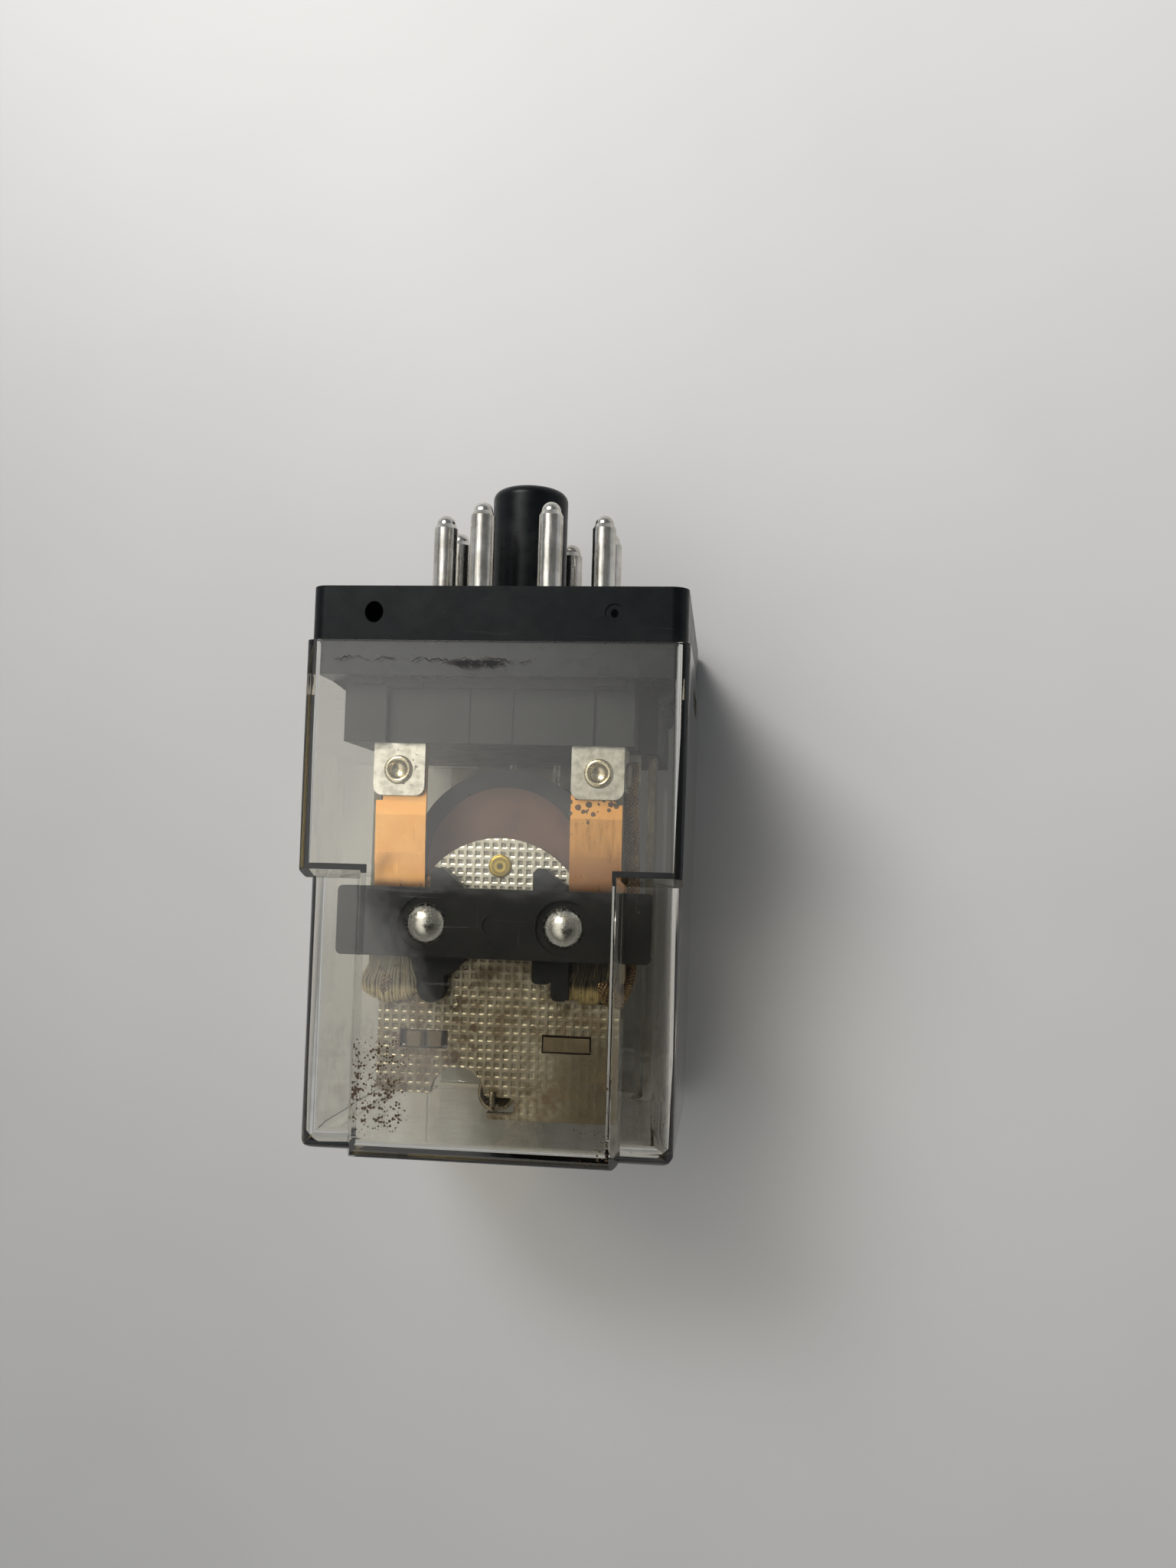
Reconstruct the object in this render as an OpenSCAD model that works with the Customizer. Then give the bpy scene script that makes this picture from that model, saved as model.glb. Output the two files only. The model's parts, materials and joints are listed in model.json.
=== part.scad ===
// Octal plug in relay: a clapper relay on a pin base, under a clear clip-fit cover.
// Axes: +Y towards the pins, +Z out of the front of the relay, X across it.
// Origin: centre of the pin circle, on the face of the base that meets the socket.

/* [Base and pins] */
// Width and depth of the base plate, mm
base_w = 34.3; // [30:0.1:40]
// Thickness of the base plate, mm
base_t = 5; // [3:0.1:8]
// Radius of the long edges of the base, mm
base_r = 1.5; // [0.5:0.1:3]
// Radius of the long edges of the cover, mm
edge_r = 1; // [0.5:0.1:3]
// Depth of the plug of the base that the cover slides over, mm
flange_t = 3.05; // [2:0.05:5]
// Diameter of the circle the pins stand on, mm
pin_circle = 17.45; // [17.4:0.01:17.5]
// Diameter of a pin, mm
pin_d = 2.36; // [2.3:0.01:2.45]
// Diameter of the root of a pin inside the base, mm
pin_root = 1.6; // [1.4:0.1:2]
// Diameter of the relief round each pin in the face of the base, mm
relief_d = 2.8; // [2.5:0.1:3.4]
// Length of a pin outside the base, mm
pin_len = 10.3; // [9:0.1:12]
// Diameter of the keyed post, mm
post_d = 7.7; // [7.6:0.05:8]
// Length of the keyed post, mm
post_len = 13.6; // [12:0.1:15]
// Width of the key rib, mm
key_w = 1.9; // [1.5:0.1:2.4]
// Height of the key rib over the post, mm
key_h = 1.1; // [0.8:0.1:1.5]

/* [Cover] */
// Width and depth of the cover, mm
cover_w = 34.8; // [30:0.1:40]
// Width of the cover below its step, mm
low_w = 34.1; // [30:0.1:40]
// Length of the cover, mm
cover_len = 45.9; // [40:0.1:60]
// Wall thickness of the cover, mm
wall = 0.8; // [0.6:0.1:2]
// Depth of the corner recesses, mm
recess = 2; // [1:0.1:4]
// Distance from the seat to the corner recesses, mm
recess_at = 25.7; // [20:0.1:40]
// Taper of each side of the cover from rim to end, mm
draft = 0.6; // [0:0.05:1.5]
// Length of the slope at the start of a recess, mm
slope = 0.8; // [0.2:0.1:3]
// Width of the raised panel between the recesses, mm
panel_w = 22.8; // [10:0.1:30]
// Width of a catch window, mm
window_w = 12; // [6:0.5:20]
// Height of a catch window, mm
window_h = 2; // [1:0.1:4]

/* [Contact block and straps] */
// Width of the contact block, mm
block_w = 28.5; // [24:0.1:31]
// Length of the contact block under the base plug, mm
block_t = 5.9; // [3:0.1:8]
// Height of the front of the block above the axis, mm
block_front = 14.5; // [12:0.1:15.5]
// Width of a terminal strap, mm
strap_w = 4.85; // [3:0.05:7]
// Sheet thickness of the straps, mm
strap_t = 0.6; // [0.4:0.05:1]

/* [Contacts] */
// Thickness of a leaf spring, mm
leaf_t = 0.3; // [0.15:0.05:0.5]
// Radius of a contact, mm
contact_r = 1.15; // [0.8:0.05:1.5]
// Distance of the contacts from the middle of the relay, mm
contact_x = 10; // [9:0.1:12]
// Diameter of a pigtail, mm
braid_d = 1.6; // [1:0.1:2]

/* [Magnet] */
// Diameter of the bobbin flanges, mm
bobbin_d = 18.4; // [14:0.1:22]
// Diameter of the core, mm
core_d = 7.8; // [6:0.1:10]
// Width of the yoke, mm
yoke_w = 20; // [14:0.1:22]
// Sheet thickness of the yoke, mm
yoke_t = 1.6; // [1:0.1:2.5]
// Thickness of the armature, mm
arm_t = 1.1; // [0.8:0.1:2]
// Width of the armature at its hinge end, mm
arm_w = 22.1; // [16:0.1:26]
// Radius of the round end of the armature, mm
arm_r = 8.4; // [6:0.1:10]

/* [Bar] */
// Width of the insulating bar, mm
bar_w = 28.8; // [20:0.1:30]
// Height of the insulating bar, mm
bar_h = 6.3; // [4:0.1:9]
// Front face of the bar above the axis, mm
bar_front = 13.9; // [13:0.1:14]

/* [Hidden] */
$fn = 48;
eps = 0.01;
rim_y = -base_t;
end_y = rim_y - cover_len;
flange_y = rim_y - flange_t;
block_y = flange_y - block_t;
window_y = flange_y - 1.05;
catch_x = cover_w / 2 - wall - 0.2;
coil_y = -25;
hinge_y = -41.15;
arm_z = 9.5;
arm_top = arm_z + arm_t;
pole_z = 8.25;
rear_z = -12;
strap_z = 13;
leaf_z = strap_z - 0.15;
leaf_drop = 0.8;
strap_x = 6.75;
leg_in = strap_x + strap_w - strap_t;
eyelet_x = 9.25;
eyelet_y = -16.4;
contact_y = -31;
rivet_x = [-6.2, 6.45];
bar_y = -33.4;
bar_back = bar_front - 0.9;
blade_z = 10.95;
blade_t = 0.25;
open_z = 9.7;
leg_x = 13.2;
ear_x = 14.3;
lead_x = 2.4;
nose_r = 2.5;
spring_y = -46.1;
spring_r = 1.6;
spring_wire = 0.5;

// Shared shapes

module along_y(y0, y1) {
  translate([0, y1, 0]) rotate([90, 0, 0]) linear_extrude(height = y1 - y0) children();
}

module along_x(x0, x1) {
  translate([x0, 0, 0]) rotate([90, 0, 90]) linear_extrude(height = x1 - x0) children();
}

module along_z(z0, z1) {
  translate([0, 0, z0]) linear_extrude(height = z1 - z0) children();
}

module block(x0, x1, y0, y1, z0, z1) {
  translate([x0, y0, z0]) cube([x1 - x0, y1 - y0, z1 - z0]);
}

module rect(w, h, r) {
  square([w - 2 * r, h], center = true);
  square([w, h - 2 * r], center = true);
  for (x = [-1, 1]) {
    for (y = [-1, 1]) {
      translate([x * (w / 2 - r), y * (h / 2 - r)]) circle(r);
    }
  }
}

module patch(x0, x1, y0, y1, r) {
  translate([(x0 + x1) / 2, (y0 + y1) / 2]) rect(x1 - x0, y1 - y0, r);
}

module disc(x, y, z0, z1, r) {
  translate([x, y, z0]) cylinder(h = z1 - z0, r = r);
}

module ring(x, y, z0, z1, r, bore) {
  along_z(z0, z1) translate([x, y]) difference() {
    circle(r);
    circle(bore);
  }
}

module handed(s) {
  if (s < 0) {
    mirror([1, 0, 0]) children();
  } else {
    children();
  }
}

module wire(a, b, r) {
  d = b - a;
  l = norm(d);
  translate(a) rotate([0, acos(d[2] / l), atan2(d[1], d[0])]) cylinder(h = l, r = r);
}

module cord(points, r) {
  for (i = [0 : len(points) - 2]) {
    wire(points[i], points[i + 1], r);
  }
  for (i = [1 : len(points) - 2]) {
    translate(points[i]) sphere(r);
  }
}

// A head of radius r and height h, with rounded edges, standing on z = 0

module button(r, h) {
  rotate_extrude() intersection() {
    square([r, h]);
    union() {
      translate([r - h, 0]) circle(h);
      square([r - h, h]);
    }
  }
}

// Base moulding

module post() {
  tip = 1;
  rotate([-90, 0, 0]) rotate_extrude() {
    translate([0, -eps]) square([post_d / 2, post_len - tip + eps]);
    square([post_d / 2 - tip, post_len]);
    translate([post_d / 2 - tip, post_len - tip]) circle(tip);
  }
  along_x(-key_w / 2, key_w / 2) polygon([
    [-eps, -post_d / 2 - key_h], [post_len - 2, -post_d / 2 - key_h],
    [post_len - 1, -post_d / 2], [post_len - 1, -2], [-eps, -2]]);
}

module catches() {
  for (s = [-1, 1]) {
    handed(s) {
      block(catch_x - 1.2, catch_x, window_y + 0.05, flange_y + eps, 0.4 - window_w / 2,
        window_w / 2 - 0.4);
      along_z(0.4 - window_w / 2, window_w / 2 - 0.4) polygon([
        [catch_x - eps, flange_y + 0.8], [catch_x + wall, flange_y + 0.8],
        [catch_x + wall, flange_y + 0.2], [catch_x - eps, window_y + 0.1]]);
      along_z(-12, 12) polygon([
        [ear_x, flange_y + eps], [catch_x, flange_y + eps], [ear_x, flange_y - 1.4]]);
    }
  }
}

module flange() {
  along_y(flange_y, rim_y + eps) rect(catch_x * 2, catch_x * 2, 0.6);
}

module base() {
  color([0.12, 0.13, 0.14]) difference() {
    union() {
      along_y(rim_y, 0) rect(base_w, base_w, base_r);
      flange();
      post();
      catches();
    }
    for (i = [0 : 7]) {
      rotate([0, 22.5 + 45 * i, 0]) {
        along_y(flange_y - 1, 1) translate([pin_circle / 2, 0]) circle(pin_root / 2);
        along_y(-0.3, 1) translate([pin_circle / 2, 0]) circle(relief_d / 2);
      }
    }
    for (x = [-11.2, 10.6]) {
      disc(x, -2.4, base_w / 2 - 0.15, base_w / 2 + 1, 0.85);
    }
  }
}

// A pin: i counts round the circle

module pin(i) {
  tip = 0.95;
  neck = pin_len - 1.4;
  r = pin_d / 2;
  root = pin_root / 2;
  color([0.78, 0.77, 0.72]) rotate([0, 22.5 + 45 * i, 0]) translate([pin_circle / 2, 0, 0])
    rotate([-90, 0, 0]) rotate_extrude() {
      polygon([[0, -7.4], [root, -7.4], [root, 0], [r, 0], [r, neck], [tip, pin_len - tip],
        [0, pin_len - tip]]);
      intersection() {
        translate([0, pin_len - tip]) circle(tip);
        square([tip, pin_len]);
      }
    }
}

// Cover: the form is used for the outside and, set in by the wall, for the inside

module soft_box(w, h, y0, r, r_end) {
  intersection() {
    along_y(y0, rim_y) rect(w, h, r);
    along_z(-h, h) patch(-w / 2, w / 2, y0, rim_y + 5, r_end);
    along_x(-w, w) patch(y0, rim_y + 5, -h / 2, h / 2, r_end);
  }
}

module panel(inset, h, low, y0) {
  top = panel_w / 2 - inset / 2;
  foot = top + recess * 0.4;
  intersection() {
    along_y(y0, rim_y) polygon([
      [-foot, -low], [-top, -h], [top, -h], [foot, -low], [foot, low], [top, h], [-top, h],
      [-foot, low]]);
    along_z(-h, h) patch(-foot, foot, y0, rim_y + 5, 0.8);
    along_x(-foot, foot) patch(y0, rim_y + 5, -h, h, 0.8);
  }
}

module sleeve_form(inset, y0, r) {
  h = cover_w / 2 - inset;
  side = low_w / 2 - inset;
  low = h - recess;
  y_in = -recess_at + inset * (norm([slope, recess]) - slope) / recess;
  y_low = y_in - slope;
  soft_box(2 * side, 2 * low, y0, r + 1.1, 1 + 0.8 * r);
  panel(inset, h, low, y0);
  intersection() {
    along_y(y0, rim_y) rect(2 * h, 2 * h, r);
    along_x(-cover_w, cover_w) polygon([
      [y_low, -low], [y_low, low], [y_in, h], [1, h], [1, -h], [y_in, -h]]);
    along_z(-cover_w, cover_w) polygon([
      [-side, y_low], [-h, y_in], [-h, 1], [h, 1], [h, y_in], [side, y_low]]);
  }
}

module cover_form(inset, y0, r) {
  h = cover_w / 2 - inset;
  intersection() {
    sleeve_form(inset, y0, r);
    along_z(-cover_w, cover_w) polygon([
      [-h, 1], [-h, flange_y - 1], [draft - h, end_y], [h - draft, end_y], [h, flange_y - 1],
      [h, 1]]);
  }
}

module cover() {
  color([0.55, 0.53, 0.42, 0.35]) difference() {
    cover_form(0, end_y, edge_r);
    cover_form(wall, end_y + wall + 0.1, 0.6);
    block(-cover_w / 2 + wall + 0.5, cover_w / 2 - wall - 0.5, rim_y - 1, rim_y + 1,
      -cover_w / 2 + wall + 0.5, cover_w / 2 - wall - 0.5);
    block(-cover_w, cover_w, window_y, window_y + window_h, -window_w / 2, window_w / 2);
  }
}

// Contact block

module contact_block() {
  half = block_w / 2;
  face = block_front - 0.5;
  color([0.16, 0.17, 0.18]) difference() {
    union() {
      block(-half, half, block_y, flange_y, rear_z, block_front);
      block(-13.6, -10.6, flange_y - 0.6, flange_y, 12, block_front + 0.7);
      block(8.8, 11.6, flange_y - 0.6, flange_y, 12, block_front + 0.7);
    }
    block(-9.4, half + 1, block_y - 1, flange_y - 0.85, face, 20);
    block(-10.3, -9.4 + eps, block_y - 1, flange_y - 0.85, face - 0.3, 20);
    block(12.4, half + 1, block_y - 1, flange_y + 1, 8, 20);
    for (x = [-2.7, 1.3]) {
      block(x, x + 0.12, block_y - 1, flange_y - 0.85, face - 0.1, 20);
    }
    block(8.75, 9, block_y - 1, flange_y - 0.85, face - 0.3, 20);
    block(-7, -2.4, flange_y - 0.9, flange_y - 0.3, face + 0.2, 20);
    for (s = [-1, 1]) {
      handed(s) {
        block(strap_x, leg_in + eps, block_y - 1, block_y + 3, strap_z, strap_z + strap_t);
        block(leg_in, leg_in + strap_t, block_y - 1, block_y + 3, 8.4, strap_z + strap_t);
        block(leg_x, leg_x + 0.7, block_y - 1, block_y + 4.4, 1, 5);
        block(10.9, 12.5, block_y - 1, block_y + 3.4, 5.1, 5.6);
        along_y(block_y - 1, block_y + 4) translate([lead_x, -8.6]) circle(0.4);
        disc(4.5, -10.8, rear_z - 1, -7, 1);
      }
    }
  }
}

// Terminal straps with their rivets

module strap(s) {
  end = -18.8;
  right = strap_x + strap_w;
  color([0.72, 0.72, 0.68]) handed(s) difference() {
    union() {
      along_z(strap_z, strap_z + strap_t) {
        patch(strap_x, right, end, block_y, 0.9);
        translate([strap_x, block_y - 1]) square([strap_w, 4]);
      }
      block(leg_in, right, end + 0.9, block_y + 3, 8.4, strap_z + strap_t);
    }
    disc(eyelet_x, eyelet_y, strap_z - 1, strap_z + 2, 1.1);
    translate([0, eyelet_y, 11]) rotate([0, 90, 0]) cylinder(h = 20, r = 0.7);
  }
}

module eyelet(s) {
  top = strap_z + strap_t;
  color([0.78, 0.72, 0.52]) handed(s) {
    ring(eyelet_x, eyelet_y, leaf_z - leaf_t - 0.4, top, 1.1, 0.7);
    ring(eyelet_x, eyelet_y, leaf_z - leaf_t - 0.4, leaf_z - leaf_t - 0.15, 1.6, 0.7);
    translate([eyelet_x, eyelet_y, top]) difference() {
      button(1.35, 0.25);
      cylinder(h = 2, r = 0.7, center = true);
    }
  }
}

module side_rivet(s) {
  color([0.75, 0.72, 0.62]) handed(s) translate([leg_in, eyelet_y, 11]) rotate([0, 90, 0]) {
    cylinder(h = strap_t, r = 0.7);
    translate([0, 0, strap_t]) button(1.2, 0.45);
    mirror([0, 0, 1]) button(1, 0.4);
  }
}

// Leaf springs that carry the fixed, normally closed contacts

module leaf(s) {
  bend_y = -28;
  z1 = leaf_z - leaf_drop;
  color([0.85, 0.52, 0.34]) handed(s) difference() {
    along_x(6.7, 11.45) polygon([
      [-14, leaf_z], [-20.5, leaf_z], [-24, leaf_z - 0.2], [bend_y, z1],
      [contact_y - 1.9, z1], [contact_y - 1.9, z1 - leaf_t], [bend_y, z1 - leaf_t],
      [-24, leaf_z - 0.2 - leaf_t], [-20.5, leaf_z - leaf_t], [-14, leaf_z - leaf_t]]);
    block(6, 8.2, -40, bend_y + 0.1, 10, 14);
    block(leg_in - 0.2, 12, -19.2, -13, 10, 14);
    disc(eyelet_x, eyelet_y, 10, 14, 1.2);
    disc(contact_x, contact_y, 10, 14, 0.6);
  }
}

module closed_contact(s) {
  z1 = leaf_z - leaf_drop;
  color([0.82, 0.81, 0.78]) handed(s) translate([contact_x, contact_y, 0]) {
    translate([0, 0, z1]) button(0.9, 0.15);
    translate([0, 0, z1 - leaf_t]) cylinder(h = leaf_t, r = 0.6);
    translate([0, 0, z1 - leaf_t]) mirror([0, 0, 1]) button(contact_r, 0.25);
  }
}

// Brackets with the fixed, normally open contacts

module open_bracket(s) {
  color([0.75, 0.72, 0.62]) handed(s) difference() {
    union() {
      block(leg_x, leg_x + 0.7, contact_y - 2, block_y + 4.4, 1, 5);
      block(leg_x, leg_x + 0.7, contact_y - 2, contact_y + 1.5, 1, open_z);
      along_z(open_z - 0.6, open_z) patch(9, leg_x + 0.7, contact_y - 2, contact_y + 1.5, 0.5);
    }
    disc(contact_x, contact_y, 8, 12, 0.6);
  }
}

module open_contact(s) {
  color([0.82, 0.81, 0.78]) handed(s) translate([contact_x, contact_y, open_z]) {
    button(contact_r, 0.35);
    translate([0, 0, -0.6]) cylinder(h = 0.6, r = 0.6);
    translate([0, 0, -0.6]) mirror([0, 0, 1]) button(0.9, 0.2);
  }
}

// Pigtails and their terminals

module braid_terminal(s) {
  color([0.75, 0.74, 0.7]) handed(s) block(10.9, 12.5, -16.6, block_y + 3.4, 5.1, 5.6);
}

module pigtail(s) {
  r = braid_d / 2;
  color([0.8, 0.6, 0.35]) handed(s) {
    disc(10, -35.5, blade_z + blade_t, blade_z + blade_t + 0.9, 2);
    cord([
      [10, -35.7, 11.96], [10.8, -36.6, 11], [12, -36, 8.6], [12.1, -33, 6], [11.9, -24, 5.8],
      [11.7, -18, 6.4], [11.7, -14.8, 6.4]], r);
  }
}

// Magnet frame and coil

module yoke() {
  color([0.68, 0.66, 0.58]) difference() {
    union() {
      block(-yoke_w / 2, yoke_w / 2, hinge_y - 0.7, -14.2, rear_z - yoke_t, rear_z);
      block(-7, 7, -14.3, flange_y, rear_z - yoke_t, rear_z);
      block(-2.6, 2.6, -47.6, hinge_y, rear_z - yoke_t, rear_z);
      block(-yoke_w / 2, yoke_w / 2, hinge_y - 0.7, hinge_y + 0.7, rear_z - 0.1,
        arm_z - 0.15);
      along_y(hinge_y - 0.7, hinge_y + 0.6) patch(4.5, 8.85, arm_z - 2, arm_top, 0.1);
      along_y(hinge_y - 0.7, hinge_y + 0.7) patch(-8.35, -6.5, arm_z - 2, 11.1, 0.4);
      along_y(hinge_y - 0.7, hinge_y + 0.7) patch(-8, -4.9, arm_z - 2, 10.4, 0.2);
    }
    disc(0, coil_y, rear_z - 3, rear_z + 1, 3);
    for (x = [-4.5, 4.5]) {
      disc(x, -10.8, rear_z - 3, rear_z + 1, 1);
    }
  }
}

module yoke_screws() {
  color([0.72, 0.72, 0.7]) for (x = [-4.5, 4.5]) {
    translate([x, -10.8, rear_z - yoke_t]) difference() {
      union() {
        cylinder(h = 6, r = 1);
        mirror([0, 0, 1]) button(1.9, 1);
      }
      translate([-3, -0.25, -2]) cube([6, 0.5, 1.6]);
    }
  }
}

module ring_form(grow) {
  intersection() {
    circle(nose_r - 0.5 + grow);
    translate([-0.6 - grow, -10]) square([20, 20]);
  }
}

module shading_ring() {
  color([0.72, 0.42, 0.25]) along_z(pole_z - 1.4, pole_z - 0.1) translate([0, coil_y])
    difference() {
      ring_form(0.5);
      ring_form(0);
    }
}

module core() {
  color([0.6, 0.58, 0.55]) difference() {
    union() {
      disc(0, coil_y, rear_z, 8, core_d / 2);
      disc(0, coil_y, rear_z, pole_z, nose_r);
      disc(0, coil_y, rear_z - yoke_t, rear_z + 1, 3);
    }
    along_z(pole_z - 1.4, pole_z + 1) translate([0, coil_y]) difference() {
      ring_form(0.5);
      ring_form(0);
    }
  }
}

module bobbin() {
  color([0.28, 0.3, 0.31]) {
    ring(0, coil_y, rear_z, 7.8, core_d / 2 + 0.6, core_d / 2);
    ring(0, coil_y, rear_z, rear_z + 0.9, bobbin_d / 2, core_d / 2);
    ring(0, coil_y, 7.1, 8, bobbin_d / 2, core_d / 2);
  }
}

module winding() {
  color([0.55, 0.28, 0.16]) ring(0, coil_y, rear_z + 0.9, 7.1, 8.2, core_d / 2 + 0.6);
}

module coil_tape() {
  color([0.7, 0.62, 0.3]) ring(0, coil_y, rear_z + 0.9, 7.1, 8.4, 8.2);
}

module fibre_washer() {
  color([0.49, 0.41, 0.41]) ring(0, coil_y, 8, 8.2, 7.5, nose_r);
}

module coil_leads() {
  color([0.75, 0.7, 0.6]) for (x = [-lead_x, lead_x]) {
    wire([x, -16.75, -8.6], [x, block_y + 4, -8.6], 0.4);
  }
}

// Armature with what rides on it

module armature() {
  color([0.62, 0.6, 0.55]) difference() {
    along_z(arm_z, arm_top) {
      translate([0, -30.8]) circle(arm_r);
      translate([-arm_r, -38]) square([arm_r * 2, 7.2]);
      patch(-arm_w / 2, arm_w / 2, -46.1, -37.4, 0.6);
      patch(-0.55, arm_w / 2, -48.2, -44, 0.4);
    }
    for (s = [-1, 1]) {
      handed(s) block(4.4, 8.95, -42, -40.3, 0, 20);
    }
    disc(-3.37, -46.15, 0, 20, 2.53);
    along_z(0, 20) patch(-0.8, 2, -47.7, -46.2, 0.5);
    disc(0, coil_y, 0, 20, 0.7);
  }
}

module residual_pin() {
  color([0.72, 0.62, 0.22]) translate([0, coil_y, 0]) {
    translate([0, 0, arm_top]) button(1.1, 0.25);
    translate([0, 0, arm_z]) cylinder(h = arm_t, r = 0.7);
    translate([0, 0, arm_z - 0.2]) cylinder(h = 0.2, r = 1);
  }
}

module bar_feet() {
  along_z(arm_top, 12.5) {
    polygon([[-6.1, -28], [-6.1, -25.7], [-5.8, -25.3], [-5, -25.3], [-4.4, -25.8],
      [-2.9, -27.1], [-2.9, -28]]);
    polygon([[3.4, -28], [3.4, -25.5], [3.8, -25.1], [4.6, -25.1], [5.2, -25.7], [6.5, -26.6],
      [6.5, -28]]);
  }
  along_z(arm_top, 12.3) {
    patch(-7, -4.6, -37.6, bar_y + 1, 1.1);
    polygon([[-4.7, bar_y + 1], [-4.7, -35.2], [-4, -34.9], [-2.6, bar_y], [-2.6, bar_y + 1]]);
    patch(3.5, 5.3, -35.6, bar_y + 1, 0.5);
    patch(5.3, 6.9, -37.1, bar_y + 1, 0.6);
  }
}

module bar() {
  top = bar_y + bar_h;
  color([0.13, 0.14, 0.15]) difference() {
    union() {
      along_z(bar_back, bar_front) patch(-bar_w / 2, bar_w / 2, bar_y, top, 0.5);
      block(-8.1, 8.1, bar_y, -28.6, arm_top, bar_back + eps);
      block(-6.5, 6.5, -28.6 - eps, top, arm_top, bar_back + eps);
      bar_feet();
    }
    for (s = [-1, 1]) {
      handed(s) {
        block(4.4, 20, -40, -28.7, blade_z, blade_z + blade_t);
      }
    }
    for (x = rivet_x) {
      disc(x, -30.4, bar_front - 0.3, 20, 2.5);
      disc(x, -30.4, 10, 20, 0.9);
      disc(x, -30.4, 10, blade_z + eps, 1.4);
    }
    disc(0, -30.4, bar_front - 0.2, 20, 0.9);
  }
}

module bar_rivets() {
  dome = 2.3;
  foot = bar_front - 0.3;
  color([0.84, 0.83, 0.8]) for (x = rivet_x) {
    translate([x, -30.4, 0]) {
      disc(0, 0, blade_z - 0.3, foot, 0.9);
      disc(0, 0, blade_z - 0.3, blade_z, 1.4);
      intersection() {
        translate([0, 0, foot + 1 - dome]) sphere(dome);
        translate([0, 0, foot]) cylinder(h = 3, r = 1.9);
      }
    }
  }
}

module blade(s) {
  color([0.83, 0.55, 0.36]) handed(s) along_z(blade_z, blade_z + blade_t) difference() {
    union() {
      patch(4.4, 12, bar_y, -28.7, 0.4);
      patch(8.4, 12, -35.4, bar_y + 1, 0.6);
    }
    translate([s < 0 ? -rivet_x[0] : rivet_x[1], -30.4]) circle(0.9);
    translate([contact_x, contact_y]) circle(0.6);
  }
}

module moving_contact(s) {
  color([0.82, 0.81, 0.78]) handed(s) translate([contact_x, contact_y, blade_z]) {
    cylinder(h = blade_t, r = 0.6);
    translate([0, 0, blade_t]) button(contact_r, 0.25);
    mirror([0, 0, 1]) button(contact_r, 0.25);
  }
}

module return_spring() {
  r = spring_wire / 2;
  low = rear_z + 0.6;
  turns = 20;
  color([0.62, 0.55, 0.38]) {
    translate([0, spring_y, 0]) rotate_extrude() {
      for (i = [0 : turns]) {
        translate([spring_r, low + i]) circle(r);
      }
      translate([spring_r - 0.1, low]) square([0.2, turns]);
    }
    cord([[0, spring_y - spring_r + 0.1, low + turns - 0.2], [0, -47, 9.2],
      [0, -47, 10.9], [0, -45.6, 10.9]], r);
  }
}

base();
pin(0);  // pin_1
pin(1);  // pin_2
pin(2);  // pin_3
pin(3);  // pin_4
pin(4);  // pin_5
pin(5);  // pin_6
pin(6);  // pin_7
pin(7);  // pin_8
cover();
contact_block();
strap(-1);  // strap_left
strap(1);  // strap_right
eyelet(-1);  // eyelet_left
eyelet(1);  // eyelet_right
side_rivet(-1);  // side_rivet_left
side_rivet(1);  // side_rivet_right
leaf(-1);  // leaf_left
leaf(1);  // leaf_right
closed_contact(-1);  // closed_contact_left
closed_contact(1);  // closed_contact_right
open_bracket(-1);  // open_bracket_left
open_bracket(1);  // open_bracket_right
open_contact(-1);  // open_contact_left
open_contact(1);  // open_contact_right
braid_terminal(-1);  // braid_terminal_left
braid_terminal(1);  // braid_terminal_right
pigtail(-1);  // pigtail_left
pigtail(1);  // pigtail_right
yoke();
yoke_screws();
core();
shading_ring();
bobbin();
winding();
coil_tape();
fibre_washer();
coil_leads();
armature();
residual_pin();
bar();
bar_rivets();
blade(-1);  // blade_left
blade(1);  // blade_right
moving_contact(-1);  // moving_contact_left
moving_contact(1);  // moving_contact_right
return_spring();
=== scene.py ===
"""Looks for the plug in relay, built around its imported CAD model."""
import json
import math
import random

import bmesh
import bpy
from mathutils import Matrix, Vector

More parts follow.
